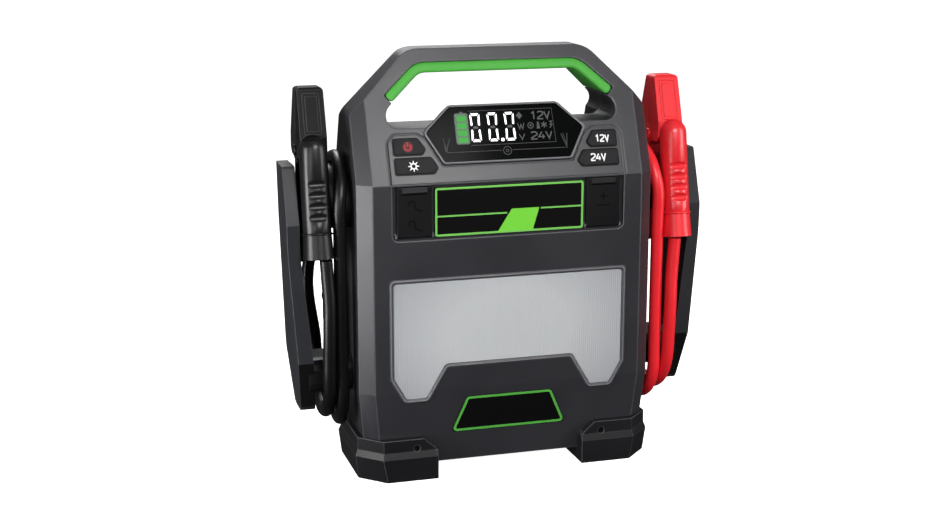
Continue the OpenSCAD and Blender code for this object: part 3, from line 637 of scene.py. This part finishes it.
def stripe(line, width, closed=False):
    """Faces of a line of that width, with mitred corners."""
    points = [Vector(p) for p in line]
    sides = []
    for i, here in enumerate(points):
        back = here - points[i - 1] if i or closed else None
        on = points[(i + 1) % len(points)] - here if i < len(points) - 1 or closed else None
        runs = [v.normalized() for v in (back, on) if v is not None and v.length > 1e-9]
        normals = [Vector((-v.y, v.x)) for v in runs]
        middle = sum(normals, Vector((0, 0))).normalized()
        reach = width / 2 / max(LONGEST_MITRE, middle.dot(normals[0]))
        sides.append((tuple(here + middle * reach), tuple(here - middle * reach)))
    pairs = list(zip(sides, sides[1:] + sides[:1]))[: len(sides) if closed else -1]
    return [[a[0], b[0], b[1], a[1]] for a, b in pairs]


def ring(x, y, radius, weight, start=0, turn=360, steps=28):
    """Faces of a ring, or of a part of it from the start angle on."""
    whole = turn == 360
    angles = [start + turn * k / steps for k in range(steps if whole else steps + 1)]
    return stripe(around(x, y, radius, angles), weight, closed=whole)


# %% From faces to a piece
def from_mesh(name, mesh, finish):
    """Turns a built mesh into an object with that finish."""
    data = bpy.data.meshes.new(name)
    mesh.to_mesh(data)
    mesh.free()
    data.materials.append(finish)
    made = bpy.data.objects.new(name, data)
    bpy.context.collection.objects.link(made)
    return made


def carry(made, body):
    """Lets a piece ride on a body of the frame."""
    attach(made, body)


def mark(name, faces, place, lift, ink, body="case"):
    """Draws flat faces on a surface as one piece."""
    mesh = bmesh.new()
    for face in faces:
        mesh.faces.new([mesh.verts.new(place(x, y, lift)) for x, y in face])
    bmesh.ops.recalc_face_normals(mesh, faces=mesh.faces)
    carry(from_mesh(name, mesh, ink), body)
    print(name, len(faces), "faces")


# %% [markdown]
# ## The display
# A battery gauge with four green bars, a number of three seven-segment digits, and dim grey signs
# that only light when their mode is on. The digits are upright; each segment is a strip with
# slanted ends, and a segment that is off still shows as a grey ghost.

# %% Seven-segment digits
DIGIT_W, DIGIT_H, SEGMENT = 8.3, 23.2, 1.9
DIGIT_LOW = 32.0
DIGIT_LEFTS = (-28.4, -14.1, 0.2)
LENS_FACE = -0.2


def moved(face, x, y):
    return [(x + a, y + b) for a, b in face]


def digit_segments(x):
    """The six lit segments of a zero, and the unlit one in its middle."""
    w, h, t = DIGIT_W, DIGIT_H, SEGMENT
    top = [(1.0, h), (w - 1.0, h), (w - t - 0.3, h - t), (t + 0.3, h - t)]
    upper_left = [
        (0, h - 0.9), (t - 0.5, h - t - 0.5), (t, h / 2 + 2.4), (t - 0.9, h / 2 + 1.4), (0.35, h / 2 + 2.2),
    ]
    lit = [top, [(a, h - b) for a, b in top]]
    for shape in (upper_left, [(w - a, b) for a, b in upper_left]):
        lit += [shape, [(a, h - b) for a, b in shape]]
    left, right, low, high = t + 0.3, w - t - 0.3, h / 2 - 1.0, h / 2 + 1.0
    off = [(left, high), (right, high), (right, low), (left, low)]
    return [moved(face, x, DIGIT_LOW) for face in lit], moved(off, x, DIGIT_LOW)


lit_faces, off_faces = [], []
for left in DIGIT_LEFTS:
    lit, off = digit_segments(left)
    lit_faces += lit
    off_faces.append(off)
lit_faces.append(rounded(oblong(-3.9, 31.7, -1.5, 34.2), 0.5))
mark("display_digits", lit_faces, on_console, LENS_FACE + 0.06, white_segment)
mark("display_ghost_segments", off_faces, on_console, LENS_FACE + 0.06, grey_ink)

# %% Battery gauge
BAR_LOWS = (31.7, 37.4, 43.2, 49.0)
BAR_HEIGHT = 4.3
gauge = rounded(oblong(-41, 30.6, -30.1, 55.5), 1.6)
gauge_cap = [(-36.7, 55.8), (-33.6, 55.8), (-34, 57), (-36.3, 57)]
gauge_lines = stripe(gauge, 0.6, closed=True) + [gauge_cap]
bars = [rounded(oblong(-39, low, -31.6, low + BAR_HEIGHT), 0.4) for low in BAR_LOWS]
mark("gauge_glow", [gauge], on_console, LENS_FACE + 0.03, green_glow)
mark("gauge_outline", gauge_lines, on_console, LENS_FACE + 0.06, grey_ink)
mark("gauge_bars", bars, on_console, LENS_FACE + 0.08, green_segment)

# %% Letters and figures as strokes
STROKES = {
    "1": [[(0.15, 0.78), (0.55, 1), (0.55, 0)]],
    "2": [[(0.02, 0.86), (0.2, 1), (0.8, 1), (1, 0.84), (1, 0.62), (0.02, 0.16), (0.02, 0), (1, 0)]],
    "4": [[(0.62, 1), (0, 0.3), (1.05, 0.3)], [(0.76, 0.62), (0.76, 0)]],
    "V": [[(0, 1), (0.5, 0.02), (1, 1)]],
    "W": [[(0, 1), (0.26, 0.02), (0.5, 0.8), (0.74, 0.02), (1, 1)]],
}


def lettering(text, x, low, height, width, gap, weight):
    faces = []
    for i, sign in enumerate(text):
        left = x + i * (width + gap)
        for line in STROKES[sign]:
            faces += stripe([(left + a * width, low + b * height) for a, b in line], weight)
    return faces


# %% Dim signs of the display
signs = lettering("12V", 22.8, 48.6, 6.0, 4.6, 1.1, 1.05)
signs += lettering("24V", 21.4, 32.2, 5.8, 5.0, 1.3, 1.05)
signs += lettering("W", 11.1, 40.9, 4.8, 5.2, 0, 0.75)
signs += lettering("V", 11.5, 32.2, 4.6, 4.4, 0, 0.75)
# A diamond, two rings and a small figure, a star of three strokes, and a bent line.
signs.append([(13, 55), (15.6, 52), (13, 49), (10.4, 52)])
signs += ring(21.8, 43.5, 2.3, 0.6)
signs += ring(21.8, 43.5, 0.5, 0.7, steps=10)
signs += ring(28.2, 45.3, 0.7, 0.7, steps=10)
signs.append([(27, 44), (29.4, 44), (29.2, 42.4), (29.9, 40.7), (26.5, 40.7), (27.2, 42.4)])
for turn in (30, 90, 150):
    signs += stripe(around(33.2, 43.7, 2.6, (turn + 180, turn)), 0.8)
signs += stripe([(37.9, 46.2), (40, 46.2), (38.4, 43.6), (40.2, 43.6), (38, 41)], 0.7)
mark("display_dim_signs", signs, on_console, LENS_FACE + 0.06, grey_ink)

# %% Hairlines of the display
hairlines = stripe([(-29.4, 57.2), (40.9, 57.2), (41.8, 29.3), (-29.4, 29.3)], 0.5)
hairlines += stripe([(-52, 35.6), (-49.4, 24.3), (-4.2, 24.3)], 0.5)
hairlines += stripe([(4.6, 24.3), (51.0, 24.3), (48.4, 36)], 0.5)
hairlines += ring(0.2, 23.9, 3.3, 0.7)
hairlines += ring(0.2, 23.9, 1.1, 0.7, steps=12)
for side in (-1, 1):
    hairlines += stripe([(side * 46.6, 35.8), (side * 50.4, 25)], 0.7)
    hairlines += stripe([(side * 51.8, 36), (side * 50.6, 25)], 0.7)
mark("display_hairlines", hairlines, on_console, LENS_FACE + 0.04, faint_ink)

# %% [markdown]
# ## Beads
# A raised half-round bead runs round the display and round the work light. It hides the joint
# between two mouldings, and because it is round, one side of it always catches the lamp above.
# A curve along the outline with a round section is the direct way to make it.


# %% Run a bead along an outline
def bead(name, outline, place, lift, radius_mm, finish):
    line = bpy.data.curves.new(name, "CURVE")
    line.dimensions = "3D"
    line.bevel_depth = 1.0  # each point's radius is then the bead's own, in metres
    line.bevel_resolution = 4
    spline = line.splines.new("POLY")
    spline.points.add(len(outline) - 1)
    for point, (x, y) in zip(spline.points, outline):
        point.co = (*place(x, y, lift), 1)
        point.radius = radius_mm / 1000
    spline.use_cyclic_u = True
    line.materials.append(finish)
    made = bpy.data.objects.new(name, line)
    bpy.context.collection.objects.link(made)
    carry(made, "case")


def grown(outline, by):
    """An outline that runs anticlockwise, pushed outwards by that many millimetres."""
    wide = []
    for i, corner in enumerate(outline):
        here = Vector(corner)
        normals = []
        for a, b in ((Vector(outline[i - 1]), here), (here, Vector(outline[(i + 1) % len(outline)]))):
            run = (b - a).normalized()
            normals.append(Vector((run.y, -run.x)))
        middle = (normals[0] + normals[1]).normalized()
        wide.append(tuple(here + middle * by / middle.dot(normals[0])))
    return wide


# %% The beads
DISPLAY_RIM = [(-52.9, 15.8), (52.9, 15.8), (66.9, 41), (45.1, 61.6), (-45.1, 61.6), (-66.9, 41)]
LIGHT = [(54.3, 94.8), (70.3, 67.3), (86.8, 67.3), (97, 85.5), (97, 163.6),
         (-97, 163.6), (-97, 85.5), (-86.8, 67.3), (-70.3, 67.3), (-54.3, 94.8)]
LIGHT_JOINT = 1.9  # from the edge of the light to the middle of its bead
light_area = sum(a[0] * b[1] - b[0] * a[1] for a, b in zip(LIGHT, LIGHT[1:] + LIGHT[:1])) / 2
# The beads are real raised shapes; their lighter grey is a painted highlight.
bead("display_bead", rounded(DISPLAY_RIM, 3), on_console, 0.5, 0.75, bead_abs_painted_highlight)
bead("light_bead", rounded(grown(LIGHT, LIGHT_JOINT), 4), on_upright(FRONT_Y), 0.1, 0.6, bead_abs_painted_highlight)
print("beads run; the light's area is", round(light_area / 100, 1), "square centimetres")

# %% [markdown]
# ## Ribs of the work light
# The ribs stand 1.8 mm apart and are a fifth of a millimetre high. The outline has one top and one
# bottom at every distance from the middle, so the ribbed face is a row of upright strips whose
# depth follows a wave.

# %% Ribbed face
RIB_MM, RIB_HEIGHT, STRIPS_PER_RIB = 1.8, 0.18, 6
RIB_FOOT_Y = -49.8
HALF_SPAN = 96.6
GAP = 0.3
light_edge = rounded(LIGHT, 3)


def light_span(x):
    """The lowest and highest point of the light's face at that distance from the middle."""
    heights = []
    for a, b in zip(light_edge, light_edge[1:] + light_edge[:1]):
        if (a[0] - x) * (b[0] - x) <= 0 and abs(a[0] - b[0]) > 1e-9:
            heights.append(mix(a[1], b[1], (x - a[0]) / (b[0] - a[0])))
    return min(heights), max(heights)


ribs = bmesh.new()
columns = []
strips = int(2 * HALF_SPAN / (RIB_MM / STRIPS_PER_RIB))
for k in range(strips + 1):
    x = -HALF_SPAN + k * 2 * HALF_SPAN / strips
    low, high = light_span(x)
    y = RIB_FOOT_Y - RIB_HEIGHT / 2 * (1 + math.cos(2 * math.pi * x / RIB_MM))
    columns.append((ribs.verts.new(mm(x, y, low + GAP)), ribs.verts.new(mm(x, y, high - GAP))))
for left, right in zip(columns, columns[1:]):
    ribs.faces.new((left[0], right[0], right[1], left[1])).smooth = True
carry(from_mesh("light_ribs", ribs, opal_cover), "case")
print(round(2 * HALF_SPAN / RIB_MM), "ribs")

# %% [markdown]
# ## Marks on the buttons
# Each cap carries one sign: a red power sign, a white sun for the work light, and the two voltages
# that the other two switch on. They are printed on the caps, so they ride on the buttons.

# %% Button marks
CAP_FACE = 1.2
POWER_X = -81.6
SUN_X, SUN_UP = -78.4, 14.5
power_sign = ring(POWER_X, 29.9, 2.6, 1.0, start=130, turn=280)
power_sign += stripe([(POWER_X, 30.4), (POWER_X, 34)], 1.0)
halo = around(POWER_X, 30.1, 4.4, range(0, 360, 15))
sun = ring(SUN_X, SUN_UP, 2.1, 1.0)
for ray in range(8):
    a = math.radians(45 * ray)
    outwards, across = Vector((math.cos(a), math.sin(a))), Vector((-math.sin(a), math.cos(a)))
    foot = Vector((SUN_X, SUN_UP)) + 2.4 * outwards
    tip = Vector((SUN_X, SUN_UP)) + 4.5 * outwards
    corners = (foot + across * 0.6, tip + across * 0.25, tip - across * 0.25, foot - across * 0.6)
    sun.append([tuple(corner) for corner in corners])
volt12 = lettering("12V", 75.3, 27.5, 5.2, 3.1, 1.0, 1.1)
volt24 = lettering("24V", 69.7, 12.0, 5.4, 3.5, 1.0, 1.1)
mark("power_halo", [halo], on_console, CAP_FACE + 0.03, red_halo_ink, "power_button")
mark("power_sign", power_sign, on_console, CAP_FACE + 0.06, red_ink, "power_button")
mark("sun_sign", sun, on_console, CAP_FACE + 0.05, white_ink, "light_button")
mark("volt12_sign", volt12, on_console, CAP_FACE + 0.05, white_ink, "volt12_button")
mark("volt24_sign", volt24, on_console, CAP_FACE + 0.05, white_ink, "volt24_button")

# %% Painted shade round each cap
CAPS = [[(-92.6, 24.2), (-70.6, 24.2), (-68, 28), (-73.6, 36.4), (-92.6, 36.4)],
        [(-92.6, 8.6), (-62, 8.6), (-59, 12.8), (-63.8, 20.6), (-92.6, 20.6)]]
# A near-black strip round each cap: painted shade for the gap between the cap and the keypad.
edges = []
for cap in CAPS:
    for side in (1, -1):
        outline = [(side * x, y) for x, y in cap][::side]
        edges += stripe(rounded(grown(outline, 0.6), 2), 1.4, closed=True)
mark("keypad_painted_gap_shade", edges, on_console, 0.04, plate_film)

# %% Signs pressed into the port covers, drawn as darker film: painted shade
cover_face = on_upright(-50.3)
COVER_SIGNS = {
    "left": [[(-84.2, 226.4), (-82.6, 229.8), (-79.4, 229.6), (-78.2, 223.4), (-72.8, 221.6)],
             [(-84.2, 210.6), (-82.6, 214.0), (-79.4, 213.8), (-78.2, 207.6), (-72.8, 205.8)]],
    "right": [[(79.2, 228.9), (79.2, 222.3)],
              [(75.9, 225.7), (82.5, 225.7)],
              [(72.8, 218.2), (85.8, 218.2)]],
}
for name, lines in COVER_SIGNS.items():
    # The darker film stands in for the shade in the pressed grooves: painted shade.
    sign = [face for line in lines for face in stripe(line, 1.2)]
    mark(name + "_cover_sign_painted_shade", sign, cover_face, 0.05, plate_film, name + "_port_cover")

# %% [markdown]
# ## Label and badge
# The label is black film with a green border, a green line that splits it in two rows, and a
# slanted green field. The badge below the light has the same border. Both are left without words.

# %% Label and badge prints
label_face = on_upright(-49.3)
label_lines = stripe(rounded(oblong(-61.3, 201, 61.3, 238.4), 1.2), 1.7, closed=True)
label_lines += stripe([(-60.5, 216.3), (-2.5, 216.3)], 1.3)
label_lines += stripe([(26, 218.7), (60.5, 218.7)], 1.3)
label_field = [(-10.1, 201.6), (19.4, 201.6), (24.6, 219.4), (1.4, 219.4)]
badge_border = rounded([(-47.2, 37.2), (47.2, 37.2), (35.3, 64.6), (-35.3, 64.6)], 2.5)
badge_lines = stripe(badge_border, 2.0, closed=True)
mark("label_lines", label_lines, label_face, 0.05, green_ink)
mark("label_field", [label_field], label_face, 0.07, block_ink)
mark("badge_lines", badge_lines, on_taper, 1.05, deep_green_ink)

# %% [markdown]
# ## Trims of the clamps
# The hood over each jaw carries a moulded pad inside a thin raised frame, for a thumb that presses
# from the front. A collar marks where the soft boot is pushed over the handle's end. These are
# small raised shapes, so they are added on the CAD hood and handle and move with them.

# %% Places on a clamp
HOOD_LOW, HOOD_HIGH = Vector((-20.8, 12)), Vector((-8.8, 48.4))
HOOD_UP = (HOOD_HIGH - HOOD_LOW).normalized()
COLLAR_R, COLLAR_Z = 11.6, -63.2


def on_hood(side):
    """Places on the leaning front face of a hood: across, up the face, and lift off it."""
    return lambda x, up, lift: mm(
        side * (CLAMP_X + x),
        PIVOT_Y + HOOD_LOW.x + up * HOOD_UP.x - lift * HOOD_UP.y,
        PIVOT_Z + HOOD_LOW.y + up * HOOD_UP.y + lift * HOOD_UP.x,
    )


def on_collar(side):
    """Places round the axis of the front handle, at the collar and above it."""
    return lambda x, y, up: mm(
        side * (CLAMP_X + GRIP_X + x),
        PIVOT_Y + GRIP_Y + y * math.cos(SPLAY) + (up + COLLAR_Z) * math.sin(SPLAY),
        PIVOT_Z - y * math.sin(SPLAY) + (up + COLLAR_Z) * math.cos(SPLAY),
    )


# %% Raised pads, frames and collars
FRAME_LINE = [(-6.8, 2.5), (6.8, 2.5), (6.6, 35.4), (-6.6, 35.4)]
PAD_LINE = [(-5.0, 4.4), (5.0, 4.4), (4.9, 33.4), (-4.9, 33.4)]


def wrap(mesh, low_row, high_row):
    """Joins two closed rows of points with a band of faces."""
    for i in range(len(low_row)):
        j = (i + 1) % len(low_row)
        mesh.faces.new((low_row[i], low_row[j], high_row[j], high_row[i]))


def pad(name, outline, place, height, finish, body):
    """A flat raised pad: the outline at its foot, and a slightly smaller one on top."""
    mesh = bmesh.new()
    foot = [mesh.verts.new(place(x, y, -0.1)) for x, y in outline]
    edge = [mesh.verts.new(place(x, y, height * 0.6)) for x, y in outline]
    centre = sum((Vector(p) for p in outline), Vector((0, 0))) / len(outline)
    top = []
    for p in outline:
        inwards = (centre - Vector(p)).normalized() * height * 0.7
        top.append(mesh.verts.new(place(p[0] + inwards.x, p[1] + inwards.y, height)))
    wrap(mesh, foot, edge)
    wrap(mesh, edge, top)
    mesh.faces.new(top)
    bmesh.ops.recalc_face_normals(mesh, faces=mesh.faces)
    carry(from_mesh(name, mesh, finish), body)


for colour, side, finish, soft in (
    ("black", -1, black_polypropylene_blasted, black_jacket),
    ("red", 1, red_polypropylene_blasted, red_jacket),
):
    hood = on_hood(side)
    collar = around(0, 0, COLLAR_R, range(0, 360, 10))
    bead(colour + "_hood_frame", rounded(FRAME_LINE, 1.0), hood, 0, 0.35, finish)
    pad(colour + "_hood_pad", rounded(PAD_LINE, 0.8), hood, 0.45, finish, "case")
    bead(colour + "_boot_collar", collar, on_collar(side), 0, 0.8, soft)
print("clamps trimmed")

# %% [markdown]
# ## Strain reliefs
# Where a lead enters the case, a tapered rubber sleeve stops it from being bent sharply. The sleeve
# is cut in rings, so it bends more the further it is from the case. It is a turned shape: one
# profile of radius against height, swept round the lead.

# %% Sleeves on the leads
SLEEVE_RINGS, RING_PITCH, RING_GROWS = 5, 4.0, 0.2
SLEEVE_SIDES = 32


def sleeve(name, side):
    profile = [(5.25, 97.0), (6.0, 97.2)]
    for k in range(SLEEVE_RINGS):
        low, wide = 98.0 + RING_PITCH * k, 6.1 + RING_GROWS * k
        profile += [(wide, low), (wide + 0.1, low + 2.6), (wide - 0.5, low + 2.8), (wide - 0.5, low + 3.8)]
    profile.append((7.05, 118.2))
    angles = [360 * i / SLEEVE_SIDES for i in range(SLEEVE_SIDES)]
    mesh = bmesh.new()
    rows = []
    for radius, z in profile:
        circle = around(side * GLAND_X, REAR_2, radius, angles)
        rows.append([mesh.verts.new(mm(x, y, z)) for x, y in circle])
    for low_row, high_row in zip(rows, rows[1:]):
        wrap(mesh, low_row, high_row)
    bmesh.ops.recalc_face_normals(mesh, faces=mesh.faces)
    carry(from_mesh(name, mesh, foot_rubber), "case")
    print(name, "is", round(profile[-1][1] - profile[0][1], 1), "mm long")


sleeve("black_lead_sleeve", -1)
sleeve("red_lead_sleeve", 1)

# %% [markdown]
# ## Studio
# The pack stands in the middle of a wide white drum that closes off floor, walls and ceiling, so the
# backdrop is white from every side. The drum sends no light to the pack and takes no shadow, and the
# room is dim, dimmer still below the horizon, so that upright dark faces stay dark.

# %% Floor and walls
DRUM_RADIUS, DRUM_HEIGHT = 12, 12
WHITE = (1, 1, 1, 1)
paper = plain_skin("pale_floor_paper", "#e8e8e8", 0.9, speckle_mm=2, drift=0.01, shine=0.0)
paper_skin = paper.node_tree.nodes["Principled BSDF"]
paper_skin.inputs["Emission Color"].default_value = WHITE
paper_skin.inputs["Emission Strength"].default_value = 1.0
drum = bmesh.new()
bmesh.ops.create_cone(
    drum, cap_ends=True, segments=64, radius1=DRUM_RADIUS, radius2=DRUM_RADIUS, depth=DRUM_HEIGHT,
)
bmesh.ops.translate(drum, vec=(0, 0, DRUM_HEIGHT / 2), verts=drum.verts)
floor = from_mesh("floor", drum, paper)
floor.visible_diffuse = floor.visible_glossy = floor.visible_shadow = False

# %% The room's own light, faint below the horizon and a little brighter above
HORIZON = 0.15
LIGHT_BELOW, LIGHT_ABOVE = 0.05, 0.17
room = bpy.data.worlds.new("pale_room")
bpy.context.scene.world = room
room.use_nodes = True
sky = room.node_tree
direction = add(sky, "ShaderNodeTexCoord")
height = add(sky, "ShaderNodeSeparateXYZ", links={"Vector": direction.outputs["Generated"]})
glow = add(
    sky, "ShaderNodeMapRange",
    {"From Min": -HORIZON, "From Max": HORIZON, "To Min": LIGHT_BELOW, "To Max": LIGHT_ABOVE},
    {"Value": height.outputs["Z"]},
)
sky.links.new(glow.outputs["Result"], sky.nodes["Background"].inputs["Strength"])
sky.nodes["Background"].inputs["Color"].default_value = WHITE

# %% [markdown]
# ## Lamps
# A soft lamp in front and above makes the leaning console shine, a weak lower one to its left finds
# the edges, and a narrow one close by on the left draws a line along the chamfer. Three more light
# the top, the back and the right side.

# %% Soft lamps: place and aim in metres, width, height, and power in watts
MIDDLE = (0, 0, 0.18)
LAMPS = {
    "lamp_front": ((0.093, -1.067, 0.8), MIDDLE, 0.45, 0.36, 10.2),
    "lamp_low": ((-0.71, -1.014, 0.354), MIDDLE, 0.35, 0.4, 2.3),
    "lamp_left": ((-0.58, -0.178, 0.167), (-0.1, -0.04, 0.15), 0.16, 0.34, 3.3),
    "lamp_above": ((0, -0.05, 1.7), (0, 0, 0.3), 1.4, 1.2, 2.4),
    "lamp_back": ((0.1, 0.92, 1.1), MIDDLE, 0.8, 0.6, 13),
    "lamp_right": ((1.03, -0.65, 0.4), MIDDLE, 0.3, 0.7, 7),
}
for name, (place, aim, width, height, power) in LAMPS.items():
    lamp = bpy.data.lights.new(name, "AREA")
    lamp.shape = "RECTANGLE"
    lamp.size = width
    lamp.size_y = height
    lamp.energy = power
    stand = bpy.data.objects.new(name, lamp)
    stand.location = place
    stand.rotation_euler = (Vector(aim) - Vector(place)).to_track_quat("-Z", "Y").to_euler()
    bpy.context.collection.objects.link(stand)
bpy.context.scene.view_settings.view_transform = "Standard"
print(len(LAMPS), "lamps")

# %% Update the scene
bpy.context.view_layer.update()
